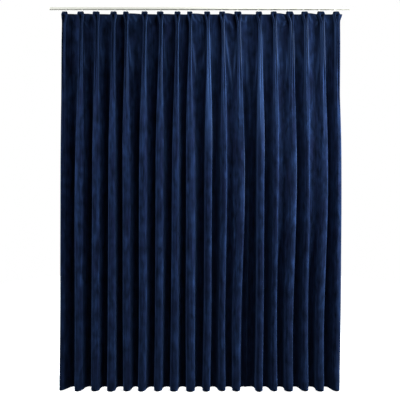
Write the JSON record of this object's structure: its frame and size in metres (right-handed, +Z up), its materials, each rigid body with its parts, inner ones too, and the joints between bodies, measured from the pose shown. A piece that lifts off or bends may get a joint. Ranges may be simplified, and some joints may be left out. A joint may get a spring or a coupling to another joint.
{
  "type": "velvet drape on a curtain rail",
  "caption": "Wide floor-length velvet drape with a pinch-pleated heading, hung by hooks and gliders from a slim channel rail.",
  "frame": {"origin": "middle of the rail's top face, which is fixed under a ceiling or a bracket", "axes": "+X along the rail to the right as seen from the room, +Y away from the room, +Z up"},
  "size_m": [1.9906, 0.0645, 2.498],
  "materials": {
    "velvet": "soft pile",
    "tape": "woven tape",
    "rail": "satin",
    "fittings": "satin"
  },
  "bodies": {
    "root": {"drape": "velvet", "heading_tape": "tape", "rail": "rail", "rail_cap_left": "fittings", "rail_cap_right": "fittings", "glider_01": "fittings", "glider_02": "fittings", "glider_03": "fittings", "glider_04": "fittings", "glider_05": "fittings", "glider_06": "fittings", "glider_07": "fittings", "glider_08": "fittings", "glider_09": "fittings", "glider_10": "fittings", "glider_11": "fittings", "glider_12": "fittings", "glider_13": "fittings", "glider_14": "fittings", "glider_15": "fittings", "glider_16": "fittings", "glider_17": "fittings", "glider_18": "fittings", "hook_01": "fittings", "hook_02": "fittings", "hook_03": "fittings", "hook_04": "fittings", "hook_05": "fittings", "hook_06": "fittings", "hook_07": "fittings", "hook_08": "fittings", "hook_09": "fittings", "hook_10": "fittings", "hook_11": "fittings", "hook_12": "fittings", "hook_13": "fittings", "hook_14": "fittings", "hook_15": "fittings", "hook_16": "fittings", "hook_17": "fittings", "hook_18": "fittings"}
  },
  "joints": []
}
